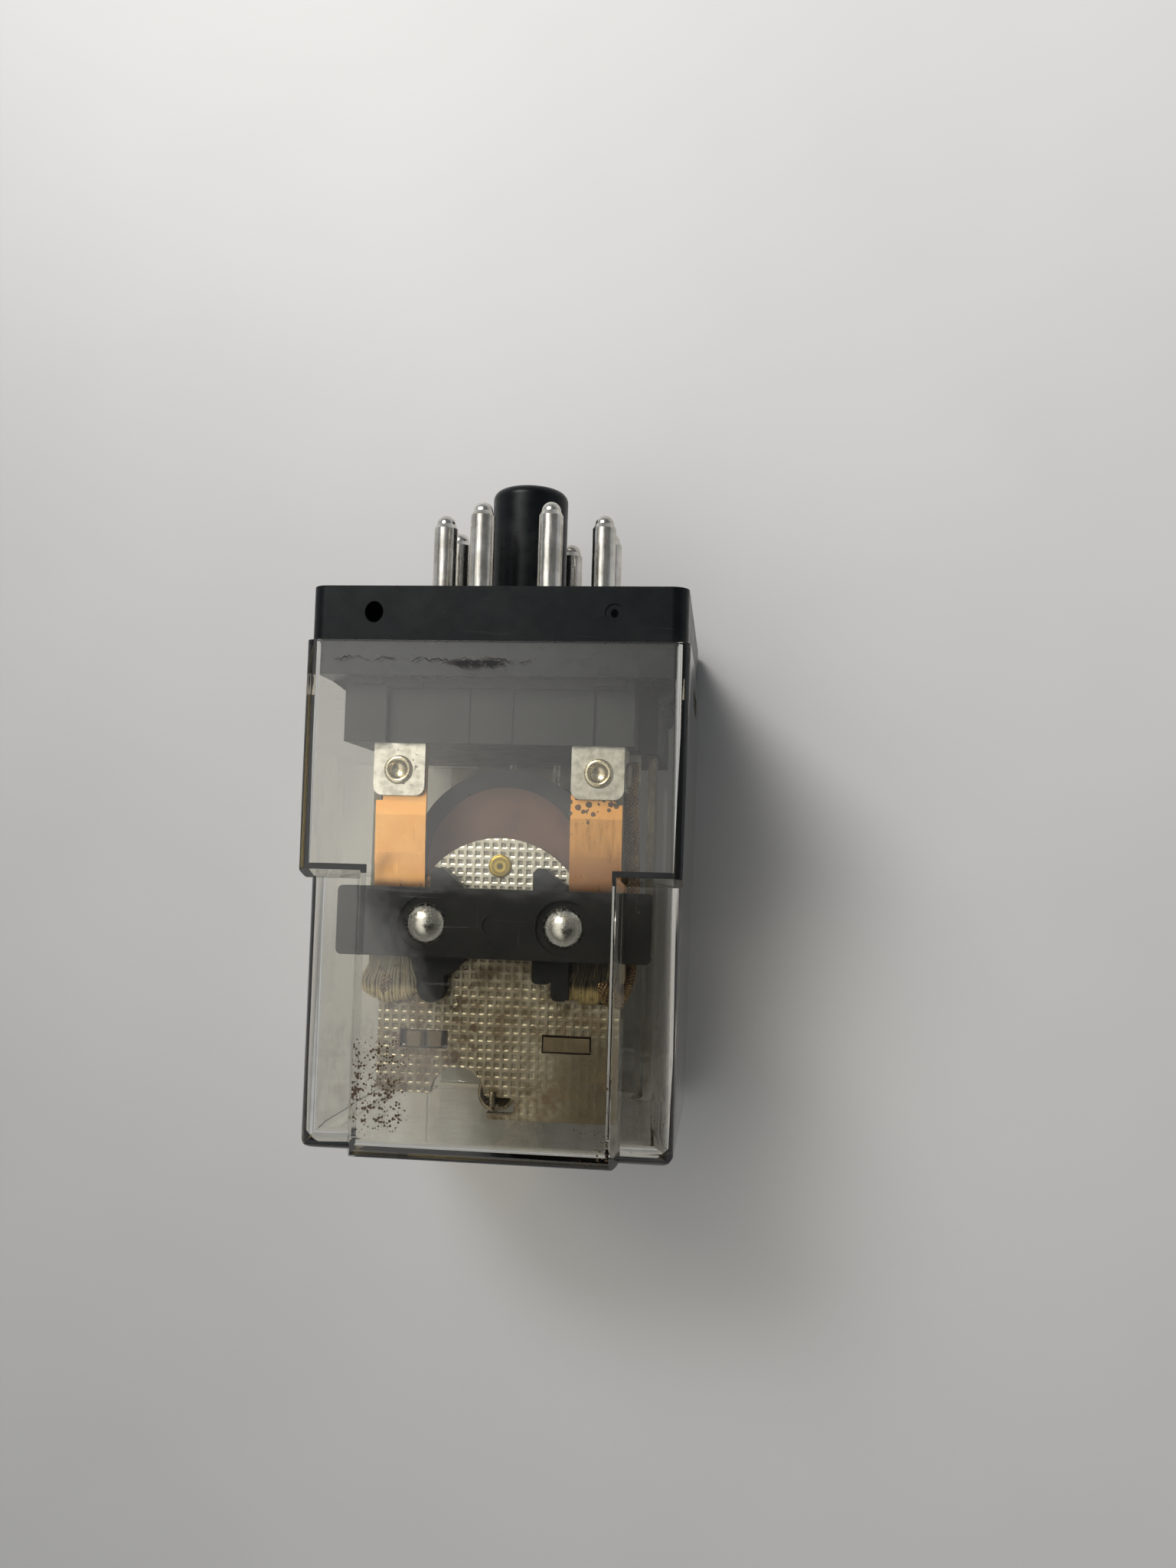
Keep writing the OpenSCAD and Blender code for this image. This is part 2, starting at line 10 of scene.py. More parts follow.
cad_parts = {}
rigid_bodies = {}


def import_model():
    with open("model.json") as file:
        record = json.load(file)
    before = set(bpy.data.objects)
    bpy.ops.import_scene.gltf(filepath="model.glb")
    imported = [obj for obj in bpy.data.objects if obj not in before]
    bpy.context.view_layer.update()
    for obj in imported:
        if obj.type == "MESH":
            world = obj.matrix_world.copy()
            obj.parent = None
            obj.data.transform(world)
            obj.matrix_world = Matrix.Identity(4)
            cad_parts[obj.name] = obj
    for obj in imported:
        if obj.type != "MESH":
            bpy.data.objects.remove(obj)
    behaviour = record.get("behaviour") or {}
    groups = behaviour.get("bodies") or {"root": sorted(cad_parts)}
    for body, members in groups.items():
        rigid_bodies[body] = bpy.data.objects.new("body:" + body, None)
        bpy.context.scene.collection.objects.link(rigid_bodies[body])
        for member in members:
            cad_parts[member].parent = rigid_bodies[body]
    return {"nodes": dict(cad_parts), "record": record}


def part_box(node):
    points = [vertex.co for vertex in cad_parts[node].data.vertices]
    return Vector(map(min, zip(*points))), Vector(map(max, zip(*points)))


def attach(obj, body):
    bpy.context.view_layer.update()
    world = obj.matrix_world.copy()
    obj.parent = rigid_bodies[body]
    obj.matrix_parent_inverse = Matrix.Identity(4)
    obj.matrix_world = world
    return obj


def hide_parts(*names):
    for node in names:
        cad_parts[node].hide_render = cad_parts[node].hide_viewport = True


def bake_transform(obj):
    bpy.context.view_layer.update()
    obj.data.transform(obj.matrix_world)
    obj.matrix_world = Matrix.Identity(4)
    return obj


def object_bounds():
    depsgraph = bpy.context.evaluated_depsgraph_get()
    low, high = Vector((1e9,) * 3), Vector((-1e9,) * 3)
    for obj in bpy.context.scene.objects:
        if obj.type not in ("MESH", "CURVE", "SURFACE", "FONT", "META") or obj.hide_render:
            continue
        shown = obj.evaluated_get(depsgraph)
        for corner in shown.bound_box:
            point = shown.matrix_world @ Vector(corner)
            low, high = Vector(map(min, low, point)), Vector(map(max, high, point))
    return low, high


for o in list(bpy.data.objects):
    bpy.data.objects.remove(o)
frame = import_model()
NODES = frame["nodes"]
ARM_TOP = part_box("armature")[1].z
cad_box = [[float(x) for x in v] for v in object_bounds()]
MM = 0.001
MERGE = 2e-6              # vertices closer than this, in metres, are one
PANEL_FACE = (0.0168, 0.0172)   # depth at which dirt on the cover's front panel sets in
RESIDUAL_PIN_Y = -0.025
SPRING_Y, SPRING_TOP = -46.1, 8.6           # in mm
EYELET_X, EYELET_Y, EYELET_TOP = 9.25, -16.4, 13.85
CAMERA_TILT = (-3.901, -6.395, -1.216)      # degrees about X, Y and Z
CAMERA_PLACE = (6.247, -16.52, 129.931)     # in mm, in the tilted frame


# ---------------------------------------------------------------- node helpers

class Graph:
    """A material's node tree, with short calls for the nodes used here."""

    def __init__(self, name):
        self.m = bpy.data.materials.new(name)
        self.m.use_nodes = True
        self.t = self.m.node_tree
        self.t.nodes.clear()
        self.out = self.t.nodes.new("ShaderNodeOutputMaterial")
        self.xyz = self.t.nodes.new("ShaderNodeTexCoord").outputs["Object"]

    def put(self, socket, value):
        if isinstance(value, bpy.types.NodeSocket):
            self.t.links.new(value, socket)
        elif isinstance(value, (tuple, list)) and len(value) == 3 and socket.type == "RGBA":
            socket.default_value = (*value, 1)
        else:
            socket.default_value = value

    def node(self, kind, **inputs):
        n = self.t.nodes.new("ShaderNode" + kind)
        for k, v in inputs.items():
            self.put(n.inputs[k.replace("_", " ")], v)
        return n

    def noise(self, size, detail=4, rough=0.55, vector=None, stretch=None, distort=0.0):
        """Noise whose features are about size mm across."""
        v = vector or self.xyz
        if stretch:
            v = self.node("Mapping", Vector=v, Scale=stretch).outputs[0]
        return self.node("TexNoise", Vector=v, Scale=1000 / size, Detail=detail,
                         Roughness=rough, Distortion=distort).outputs[0]

    def specks(self, size, share, edge=0.05, ragged=0.35):
        """Ragged specks on a grid of that many mm; share (0 to 1) sets how large they are."""
        v = self.node("TexNoise", Vector=self.xyz, Scale=1000 / (size * 0.45), Detail=3,
                      Roughness=0.6)
        n = self.t.nodes.new("ShaderNodeVectorMath")
        n.operation = "MULTIPLY_ADD"
        self.put(n.inputs[0], v.outputs["Color"])
        n.inputs[1].default_value = (size * MM * ragged,) * 3
        self.put(n.inputs[2], self.xyz)
        c = self.t.nodes.new("ShaderNodeTexVoronoi")
        self.put(c.inputs["Vector"], n.outputs[0])
        c.inputs["Scale"].default_value = 1000 / size
        pick = self.node("SeparateXYZ", Vector=c.outputs["Color"]).outputs[0]
        reach = self.math("MULTIPLY", share, self.ramp(pick, 0.1, 1.0, 0.15, 0.75))
        return self.ramp(self.math("SUBTRACT", reach, c.outputs["Distance"]), 0.0, edge)

    def ramp(self, x, a, b, lo=0.0, hi=1.0):
        n = self.t.nodes.new("ShaderNodeMapRange")
        n.interpolation_type = "SMOOTHSTEP"
        self.put(n.inputs["Value"], x)
        for k, v in (("From Min", a), ("From Max", b), ("To Min", lo), ("To Max", hi)):
            self.put(n.inputs[k], v)
        return n.outputs["Result"]

    def math(self, op, a, b=0.5):
        n = self.t.nodes.new("ShaderNodeMath")
        n.operation = op
        self.put(n.inputs[0], a)
        self.put(n.inputs[1], b)
        return n.outputs[0]

    def mix(self, f, a, b):
        n = self.t.nodes.new("ShaderNodeMix")
        n.data_type = "RGBA"
        self.put(n.inputs[0], f)
        self.put(n.inputs[6], a)
        self.put(n.inputs[7], b)
        return n.outputs[2]

    def axis(self, k):
        return self.node("SeparateXYZ", Vector=self.xyz).outputs[k]

    def bump(self, height, depth, strength=1.0):
        """Bump of that depth in mm."""
        n = self.node("Bump", Height=height, Distance=depth * MM, Strength=strength)
        return n.outputs[0]

    def shader(self, **inputs):
        n = self.t.nodes.new("ShaderNodeBsdfPrincipled")
        for k, v in inputs.items():
            self.put(n.inputs[k.replace("_", " ")], v)
        return n.outputs[0]

    def finish(self, surface, volume=None):
        self.put(self.out.inputs["Surface"], surface)
        if volume:
            self.put(self.out.inputs["Volume"], volume)
        return self.m


def plastic(name, base, light, rough=0.42, grain=0.01, dust=0.25, dust_colour=(0.2, 0.19, 0.17),
            gloss=0.5, marks=()):
    """Moulded plastic: mottled, with fine grain, hairline scratches, a little dust and marks.

    Each entry in marks is (x, y, radius in mm, colour): a dull dark disc of painted shade where the
    moulding has a small recess, and lies on the front only.
    """
    g = Graph(name)
    mottle = g.ramp(g.noise(3.5, 5), 0.35, 0.7)
    colour = g.mix(mottle, base, light)
    scratch = g.ramp(g.noise(0.5, 2, 0.5, stretch=(0.07, 1, 1), distort=0.4), 0.68, 0.73)
    specks = g.specks(0.9, g.ramp(g.noise(4, 2), 0.45, 0.7, 0.03, 0.22))
    patches = g.ramp(g.noise(5, 3), 0.5, 0.75)
    dirt = g.math("ADD", g.math("MULTIPLY", specks, dust * 2),
                  g.math("MULTIPLY", patches, dust * 0.25))
    dirt = g.math("ADD", dirt, g.math("MULTIPLY", scratch, dust * 0.35))
    colour = g.mix(dirt, colour, dust_colour)
    sheen = gloss
    # each entry paints a dull dark disc with no gloss: painted shade of a small recess
    for x, y, r, shade in marks:
        spot = g.node("VectorMath", Vector=g.xyz)
        spot.operation = "SUBTRACT"
        spot.inputs[1].default_value = (x * MM, y * MM, 0)
        flat = g.node("Mapping", Vector=spot.outputs[0], Scale=(1, 0.85, 0)).outputs[0]
        size = g.t.nodes.new("ShaderNodeVectorMath")
        size.operation = "LENGTH"
        g.t.links.new(flat, size.inputs[0])
        recess_shade = g.ramp(size.outputs["Value"], (r + 0.05) * MM, (r - 0.08) * MM)
        recess_shade = g.math("MULTIPLY", recess_shade, g.ramp(g.axis(2), 0.0, 0.001))
        colour = g.mix(recess_shade, colour, shade)
        sheen = g.math("MULTIPLY", sheen, g.math("SUBTRACT", 1.0, recess_shade))
    roughness = g.math("ADD", g.ramp(g.noise(1.2, 4), 0.3, 0.75, rough - 0.05, rough + 0.07),
                       g.math("MULTIPLY", scratch, 0.1))
    height = g.math("ADD", g.noise(0.7, 2), g.math("MULTIPLY", scratch, -0.4))
    return g.finish(g.shader(Base_Color=colour, Roughness=roughness,
                             Specular_IOR_Level=sheen, Normal=g.bump(height, grain, 0.4)))


def metal(name, base, dark, rough=0.3, brushed=None, spots=0.0, spot_colour=(0.05, 0.04, 0.03),
          grain=0.008, size=2.0, tip=None):
    """Metal: uneven tone, brushed or mottled roughness, and specks of dirt."""
    g = Graph(name)
    tone = g.ramp(g.noise(size, 5), 0.32, 0.72)
    colour = g.mix(tone, base, dark)
    lines = g.noise(0.22, 3, 0.6, stretch=brushed or (1, 1, 1))
    marks = g.ramp(g.noise(0.42, 3, 0.7), 0.67 - 0.08 * spots, 0.74 - 0.06 * spots)
    where = g.ramp(g.noise(3.2, 3), 0.42, 0.62)
    marks = g.math("MULTIPLY", g.math("MULTIPLY", marks, where), min(1.0, spots * 1.3))
    colour = g.mix(marks, colour, spot_colour)
    if tip:
        colour = g.mix(g.ramp(g.axis(2), 0.0082, 0.0092), colour, tip)
    roughness = g.ramp(lines, 0.25, 0.8, rough - 0.09, rough + 0.14)
    roughness = g.math("ADD", roughness, g.math("MULTIPLY", marks, 0.35))
    return g.finish(g.shader(Base_Color=colour, Roughness=roughness,
                             Metallic=g.math("SUBTRACT", 1.0, marks),
                             Normal=g.bump(lines, grain)))


# ------------------------------------------------------------------- materials

def cover_material():
    """Smoked polycarbonate: clear face on, olive brown edge on, scratched and dirty."""
    g = Graph("Cover clear")
    x, y, z = g.axis(0), g.axis(1), g.axis(2)
    scratch = g.ramp(g.noise(0.55, 2, 0.5, stretch=(0.05, 1, 1), distort=0.6), 0.70, 0.73)
    scratch2 = g.ramp(g.noise(0.5, 2, 0.5, stretch=(1, 0.04, 1), distort=0.5), 0.71, 0.74)
    lines = g.math("ADD", scratch, scratch2)
    haze = g.ramp(g.noise(6, 5), 0.35, 0.75)
    rough = g.math("ADD", g.math("MULTIPLY", haze, 0.012), g.math("MULTIPLY", lines, 0.12))
    height = g.math("ADD", g.noise(3.0, 2), g.math("MULTIPLY", lines, -0.12))
    # darker towards the bottom: partly a dirt film, partly painted shade of the shadowed lower
    # inside, in both the clear tint and the tint of the shadow rays
    low_film_and_shade = g.ramp(y, -0.0262, -0.0330)
    tint = g.mix(low_film_and_shade, (0.97, 0.965, 0.94), (0.885, 0.875, 0.835))
    clear = g.shader(Base_Color=tint, Roughness=rough,
                     Transmission_Weight=1.0, IOR=1.57, Normal=g.bump(height, 0.015, 0.5))
    shade = g.mix(low_film_and_shade, (0.93, 0.92, 0.89), (0.79, 0.775, 0.72))
    lamp = g.node("BsdfTransparent", Color=shade).outputs[0]
    shadow = g.t.nodes.new("ShaderNodeLightPath").outputs["Is Shadow Ray"]
    body = g.node("MixShader", Fac=shadow).outputs[0]
    g.t.links.new(clear, body.node.inputs[1])
    g.t.links.new(lamp, body.node.inputs[2])
    front = g.ramp(z, *PANEL_FACE)
    # baked-on brown specks, thickest towards one lower corner, with a few everywhere
    left = g.math("MULTIPLY", g.ramp(x, -0.0050, -0.0085), g.ramp(y, -0.0385, -0.0425))
    left = g.math("MULTIPLY", left, g.ramp(y, -0.0496, -0.0470))
    right = g.math("MULTIPLY", g.ramp(x, 0.0070, 0.0100), g.ramp(y, -0.0385, -0.0450))
    patchy = g.ramp(g.noise(2.2, 3), 0.38, 0.6)
    share = g.math("ADD", g.math("MULTIPLY", left, g.ramp(patchy, 0, 1, 0.6, 1.15)),
                   g.math("MULTIPLY", right, g.ramp(patchy, 0, 1, 0.1, 0.75)))
    fine = g.specks(0.25, g.math("MULTIPLY", share, front))
    some = g.math("MULTIPLY", g.specks(1.5, g.ramp(g.noise(5, 2), 0.5, 0.7, 0.02, 0.14)), front)
    low = g.math("MULTIPLY", g.ramp(z, 0.0140, 0.0150), g.ramp(x, 0.0118, 0.0126))
    low = g.math("MULTIPLY", low, g.ramp(y, -0.0330, -0.0400))
    streak = g.ramp(g.noise(0.5, 4, 0.7, stretch=(1.3, 0.35, 1)), 0.60, 0.68)
    streak = g.math("MULTIPLY", streak, g.math("MULTIPLY", low, 0.6))
    # a dark smear by the rim
    near = g.math("MULTIPLY", g.ramp(x, -0.0056, -0.0030), g.ramp(x, 0.0022, 0.0004))
    near = g.math("MULTIPLY", near, g.math("MULTIPLY", g.ramp(y, -0.0078, -0.0072),
                                           g.ramp(y, -0.0064, -0.0069)))
    near = g.math("MULTIPLY", near, front)
    smear = g.ramp(g.math("ADD", g.noise(0.6, 5, 0.7, stretch=(0.45, 1, 1)),
                          g.math("MULTIPLY", near, 0.22)), 0.64, 0.68)
    smear = g.math("MULTIPLY", smear, near)
    # and the thin ragged line that it runs out into
    wander = g.ramp(g.noise(1.6, 4, 0.6, stretch=(1, 0.01, 0.01)), 0.2, 0.8, -0.0004, 0.0004)
    off = g.math("ABSOLUTE", g.math("ADD", g.math("ADD", y, 0.0067), wander))
    crack = g.math("MULTIPLY", g.ramp(off, 0.00010, 0.00004), g.ramp(x, -0.0150, -0.0140))
    crack = g.math("MULTIPLY", crack, g.math("MULTIPLY", g.ramp(x, 0.0050, 0.0035), front))
    crack = g.math("MULTIPLY", crack, g.ramp(g.noise(0.9, 3), 0.42, 0.55, 0.1, 0.85))
    smear = g.math("MAXIMUM", smear, crack)
    dirt = g.shader(Base_Color=g.mix(smear, (0.075, 0.045, 0.024), (0.012, 0.012, 0.013)),
                    Roughness=0.8)
    film = g.math("MULTIPLY", g.math("ADD", left, g.math("MULTIPLY", right, 0.8)), 0.10)
    film = g.math("MULTIPLY", film, g.ramp(g.noise(2.0, 5), 0.4, 0.7))
    amount = g.math("MAXIMUM", g.math("MAXIMUM", fine, smear), g.math("MAXIMUM", some, film))
    amount = g.math("MAXIMUM", amount, streak)
    both = g.node("MixShader", Fac=amount).outputs[0]
    g.t.links.new(body, both.node.inputs[1])
    g.t.links.new(dirt, both.node.inputs[2])
    absorb = g.node("VolumeAbsorption", Color=(0.72, 0.67, 0.50), Density=125.0).outputs[0]
    return g.finish(both, absorb)


def leaf_material(name, dirty_and_shaded):
    """Bright copper strip with cloudy tarnish; with dirty_and_shaded set it has black specks and a
    brown lower end, which is partly tarnish and partly painted shade.
    """
    g = Graph(name)
    y = g.axis(1)
    colour = g.mix(g.ramp(g.noise(3.0, 5), 0.35, 0.7), (0.97, 0.52, 0.17), (0.93, 0.45, 0.13))
    # brown lower end: partly tarnish, partly painted shade
    end = g.math("MULTIPLY", g.ramp(y, -0.0215 if dirty_and_shaded else -0.0262, -0.0262 if dirty_and_shaded else -0.0272),
                 0.7 if dirty_and_shaded else 0.25)
    colour = g.mix(end, colour, (0.33, 0.13, 0.05))
    lines = g.noise(0.3, 3, 0.6, stretch=(1, 0.08, 1))
    share = g.ramp(y, -0.0225, -0.0195, 0.1, 0.85) if dirty_and_shaded else 0.06
    specks = g.specks(0.5, share)
    colour = g.mix(g.math("MULTIPLY", specks, 0.9 if dirty_and_shaded else 0.5), colour, (0.05, 0.028, 0.02))
    return g.finish(g.shader(Base_Color=colour, Metallic=g.math("SUBTRACT", 1.0, specks),
                             Roughness=g.ramp(lines, 0.25, 0.8, 0.26, 0.4),
                             Normal=g.bump(lines, 0.004)))


def armature_material():
    """Plated steel, bright at its round end and darker and browner towards the hinge and the lower
    right corner; the floors of its pits are darkened as painted shade.
    """
    g = Graph("Armature steel")
    x, y = g.axis(0), g.axis(1)
    steel = g.mix(g.ramp(g.noise(1.2, 4), 0.35, 0.7), (0.76, 0.73, 0.61), (0.57, 0.54, 0.43))
    # darker and browner towards the hinge, and darker still towards the lower right corner
    towards_hinge = g.ramp(y, -0.0275, -0.0345)
    steel = g.mix(g.math("MULTIPLY", towards_hinge, 0.70), steel, (0.235, 0.195, 0.125))
    corner = g.math("MULTIPLY", g.ramp(x, 0.0035, 0.0085), g.ramp(y, -0.0375, -0.0415))
    steel = g.mix(g.math("MULTIPLY", corner, 0.75), steel, (0.10, 0.085, 0.055))
    grime = g.math("MULTIPLY", g.ramp(g.noise(1.6, 5, 0.6), 0.40, 0.66), towards_hinge)
    grime = g.math("MULTIPLY", grime, g.ramp(g.noise(5, 2), 0.3, 0.65, 0.35, 0.9))
    colour = g.mix(grime, steel, (0.17, 0.125, 0.07))
    place = g.math("MULTIPLY", g.ramp(x, 0.0005, -0.0025), g.ramp(y, -0.0335, -0.0365))
    # painted shade: the floors of the pits are darkened
    pit_shade = g.ramp(g.axis(2), ARM_TOP - 0.000046, ARM_TOP - 0.000058)
    pit_shade = g.math("MULTIPLY", pit_shade, g.ramp(towards_hinge, 0.0, 1.0, 0.6, 0.35))
    colour = g.mix(pit_shade, colour, (0.09, 0.075, 0.05))
    rust = g.specks(0.8, g.math("MULTIPLY", place, g.ramp(g.noise(2.0, 3), 0.4, 0.65, 0.1, 1.1)),
                    0.12, 0.5)
    colour = g.mix(g.math("MULTIPLY", rust, 0.75), colour, (0.085, 0.042, 0.018))
    rough = g.math("ADD", g.math("MULTIPLY", towards_hinge, 0.10), g.math("MULTIPLY", grime, 0.2))
    rough = g.math("ADD", rough, g.ramp(g.noise(0.4, 3), 0.3, 0.7, 0.26, 0.38))
    dull = g.math("MAXIMUM", g.math("MULTIPLY", grime, 0.45), rust)
    return g.finish(g.shader(Base_Color=colour, Metallic=g.math("SUBTRACT", 1.0, dull),
                             Roughness=rough, Normal=g.bump(g.noise(0.2, 3), 0.005)))


def brass_material():
    """Turned brass with lathe rings round its centre."""
    g = Graph("Residual brass")
    x, y = g.axis(0), g.axis(1)
    across = g.math("POWER", x, 2.0)
    along = g.math("POWER", g.math("SUBTRACT", y, RESIDUAL_PIN_Y), 2.0)
    radius = g.math("SQRT", g.math("ADD", across, along))
    ring = g.math("SINE", g.math("MULTIPLY", radius, 11500.0))
    ring = g.math("ADD", g.math("MULTIPLY", ring, 0.5), g.math("MULTIPLY", g.noise(0.4, 3), 0.6))
    colour = g.mix(g.ramp(ring, 0.1, 0.75), (0.50, 0.37, 0.075), (0.28, 0.20, 0.045))
    colour = g.mix(g.ramp(radius, 0.0004, 0.0002), colour, (0.12, 0.09, 0.03))
    return g.finish(g.shader(Base_Color=colour, Metallic=0.8, Roughness=0.45,
                             Normal=g.bump(ring, 0.01)))


def fan_material(name, dull, bright, tip):
    """Soldered braid: darkened as painted shade where it runs under the bar, bright at the strands'
    tips.
    """
    g = Graph(name)
    wire = g.noise(0.25, 3, 0.6, stretch=(1, 0.15, 0.15))
    # painted shade: the part under the bar takes the darker colour, the strands' tips the bright one
    end = g.math("ADD", g.ramp(g.axis(1), tip + 0.0009, tip),
                 g.math("MULTIPLY", g.ramp(wire, 0.5, 0.75), 0.35))
    colour = g.mix(end, dull, bright)
    colour = g.mix(g.ramp(g.noise(0.7, 4), 0.55, 0.7, 0.0, 0.6), colour, (0.07, 0.05, 0.03))
    return g.finish(g.shader(Base_Color=colour, Metallic=0.55,
                             Roughness=g.ramp(wire, 0.3, 0.7, 0.3, 0.5),
                             Normal=g.bump(wire, 0.02)))


# the base's two marks are dull dark discs of painted shade for its ejector recesses
BLACK = plastic("Base black", (0.003, 0.0042, 0.0052), (0.006, 0.008, 0.009), 0.3, 0.006, 0.10,
                gloss=0.17, marks=[(-11.2, -2.4, 0.85, (0.0005, 0.0006, 0.0006)),
                                   (10.6, -2.4, 0.35, (0.003, 0.0035, 0.004))])
BLOCK = plastic("Block black", (0.013, 0.0148, 0.0148), (0.020, 0.022, 0.021), 0.45, 0.003, 0.12,
                gloss=0.3)
BAR = plastic("Bar black", (0.0045, 0.005, 0.005), (0.009, 0.0095, 0.009), 0.4, 0.004, 0.12,
              gloss=0.25)
GREY = plastic("Bobbin grey", (0.028, 0.031, 0.033), (0.042, 0.045, 0.046), 0.5, 0.012, 0.2)
FIBRE = plastic("Fibre disc", (0.175, 0.112, 0.092), (0.13, 0.088, 0.074), 0.72, 0.02, 0.15,
                gloss=0.25)
TAPE = plastic("Coil tape", (0.5, 0.36, 0.1), (0.42, 0.3, 0.08), 0.3, 0.01, 0.2)
WIRE = metal("Enamelled wire", (0.45, 0.14, 0.06), (0.3, 0.08, 0.03), 0.3)
PIN = metal("Tinned pin", (0.74, 0.72, 0.67), (0.50, 0.475, 0.42), 0.2, (1, 0.1, 1), 0.55,
            (0.10, 0.075, 0.045))
STRAP = metal("Tinned strap", (0.82, 0.80, 0.71), (0.52, 0.50, 0.42), 0.38, None, 0.75, size=0.9)
# a darker copy of the tinned strap, as painted shade for the right strap
STRAP_SHADED = metal("Tinned strap painted shade", (0.60, 0.58, 0.51), (0.36, 0.345, 0.29), 0.42, None, 0.8,
                size=0.8)
NICKEL = metal("Bright rivet", (0.86, 0.85, 0.80), (0.68, 0.66, 0.6), 0.2, None, 0.25)
EYELET = metal("Eyelet brass", (0.80, 0.72, 0.52), (0.5, 0.43, 0.28), 0.24, None, 0.35)
SILVER = metal("Contact silver", (0.88, 0.87, 0.84), (0.6, 0.58, 0.54), 0.3)
PLATED = metal("Plated bracket", (0.22, 0.205, 0.16), (0.13, 0.12, 0.09), 0.34, (1, 0.1, 1), 0.3)
STEEL = metal("Yoke steel", (0.50, 0.475, 0.39), (0.34, 0.31, 0.235), 0.36, (1, 0.15, 1), 0.4,
              (0.12, 0.07, 0.03), tip=(0.20, 0.16, 0.10))
IRON = metal("Core iron", (0.5, 0.48, 0.44), (0.36, 0.33, 0.28), 0.4)
BRASS = brass_material()
COPPER = metal("Shading copper", (0.8, 0.38, 0.2), (0.5, 0.2, 0.09), 0.35)
BRAID = metal("Braid wire", (0.36, 0.25, 0.13), (0.15, 0.095, 0.05), 0.34, None, 0.3)
FAN_L = fan_material("Braid end dull", (0.34, 0.30, 0.20), (0.74, 0.62, 0.36), -0.0368)
# the right fan's near black colour is painted shadow under the bar
FAN_R = fan_material("Braid end painted shadow", (0.035, 0.03, 0.02), (0.46, 0.36, 0.17), -0.0364)
BLADE = metal("Blade copper", (0.26, 0.20, 0.12), (0.14, 0.10, 0.06), 0.4, None, 0.5)
SPRING = metal("Spring wire", (0.42, 0.36, 0.25), (0.2, 0.16, 0.1), 0.3, None, 0.3)
LEAF_L = leaf_material("Leaf copper left", False)
LEAF_R = leaf_material("Leaf copper right", True)
ARMATURE = armature_material()
COVER = cover_material()

BY_SLOT = {
    "base_black": BLACK, "tinned_pin": PIN, "cover_clear": COVER, "block_black": BLOCK,
    "strap_tin": STRAP, "eyelet_brass": EYELET, "bracket_plated": PLATED,
    "leaf_copper": LEAF_L, "contact_silver": SILVER, "braid_copper": BRAID,
    "yoke_steel": STEEL, "core_iron": IRON, "ring_copper": COPPER, "bobbin_grey": GREY,
    "winding_wire": WIRE, "tape_yellow": TAPE, "fibre_brown": FIBRE, "lead_tin": STRAP,
    "armature_waffle": ARMATURE, "brass_yellow": BRASS, "bar_black": BAR,
    "rivet_nickel": NICKEL, "spring_steel": SPRING,
}
SLOT_OF = {s["node"]: s["material_slot"] for s in frame["record"]["subparts"]}
BODY_OF = {n: b for b, ns in frame["record"]["behaviour"]["bodies"].items() for n in ns}
for n, o in NODES.items():
    o.data.materials.clear()
    o.data.materials.append(BY_SLOT[SLOT_OF[n]])
NODES["leaf_right"].data.materials[0] = LEAF_R
# the right strap's darker copy is painted shade
NODES["strap_right"].data.materials[0] = STRAP_SHADED
for side in ("left", "right"):
    NODES["blade_" + side].data.materials[0] = BLADE


# ------------------------------------------------------------------- modelling

def add(name, bm, material, node=None, body=None, bend=None):
    """A piece from a bmesh. It stands for that CAD node, if one is named."""
    bmesh.ops.recalc_face_normals(bm, faces=bm.faces)
    data = bpy.data.meshes.new(name)
    bm.to_mesh(data)
    bm.free()
    data.materials.append(material)
    o = bpy.data.objects.new(name, data)
    bpy.context.scene.collection.objects.link(o)
    return stand(o, node, body, bend)


def stand(o, node=None, body=None, bend=None):
    """Rides the piece on a body; given bend, it only bakes the piece's place into its mesh and
    leaves it on no body, and the bend's two points are not used.
    """
    if bend:
        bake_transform(o)
    else:
        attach(o, body or BODY_OF[node])
    if node:
        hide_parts(node)
    return o


def final(o):
    """Applies the object's modifiers."""
    deps = bpy.context.evaluated_depsgraph_get()
    data = bpy.data.meshes.new_from_object(o.evaluated_get(deps))
    o.modifiers.clear()
    o.data = data
    return o


def soften(node, width, name, segments=2, angle=40):
    """A copy of a CAD node with its sharp edges rounded by that many mm."""
    bm = bmesh.new()
    bm.from_mesh(NODES[node].data)
    bmesh.ops.remove_doubles(bm, verts=bm.verts, dist=MERGE)
    bmesh.ops.dissolve_limit(bm, angle_limit=math.radians(0.6), verts=bm.verts,
                             edges=bm.edges)
    data = bpy.data.meshes.new(name)
    bm.to_mesh(data)
    bm.free()
    data.materials.append(NODES[node].data.materials[0])
    o = bpy.data.objects.new(name, data)
    bpy.context.scene.collection.objects.link(o)
    b = o.modifiers.new("Bevel", "BEVEL")
    b.width = width * MM
    b.segments = segments
    b.limit_method = "ANGLE"
    b.angle_limit = math.radians(angle)
    b.use_clamp_overlap = True
    for p in data.polygons:
        p.use_smooth = True
    w = o.modifiers.new("Normals", "WEIGHTED_NORMAL")
    w.mode = "FACE_AREA"
    w.weight = 100
    final(o)
    return stand(o, node)


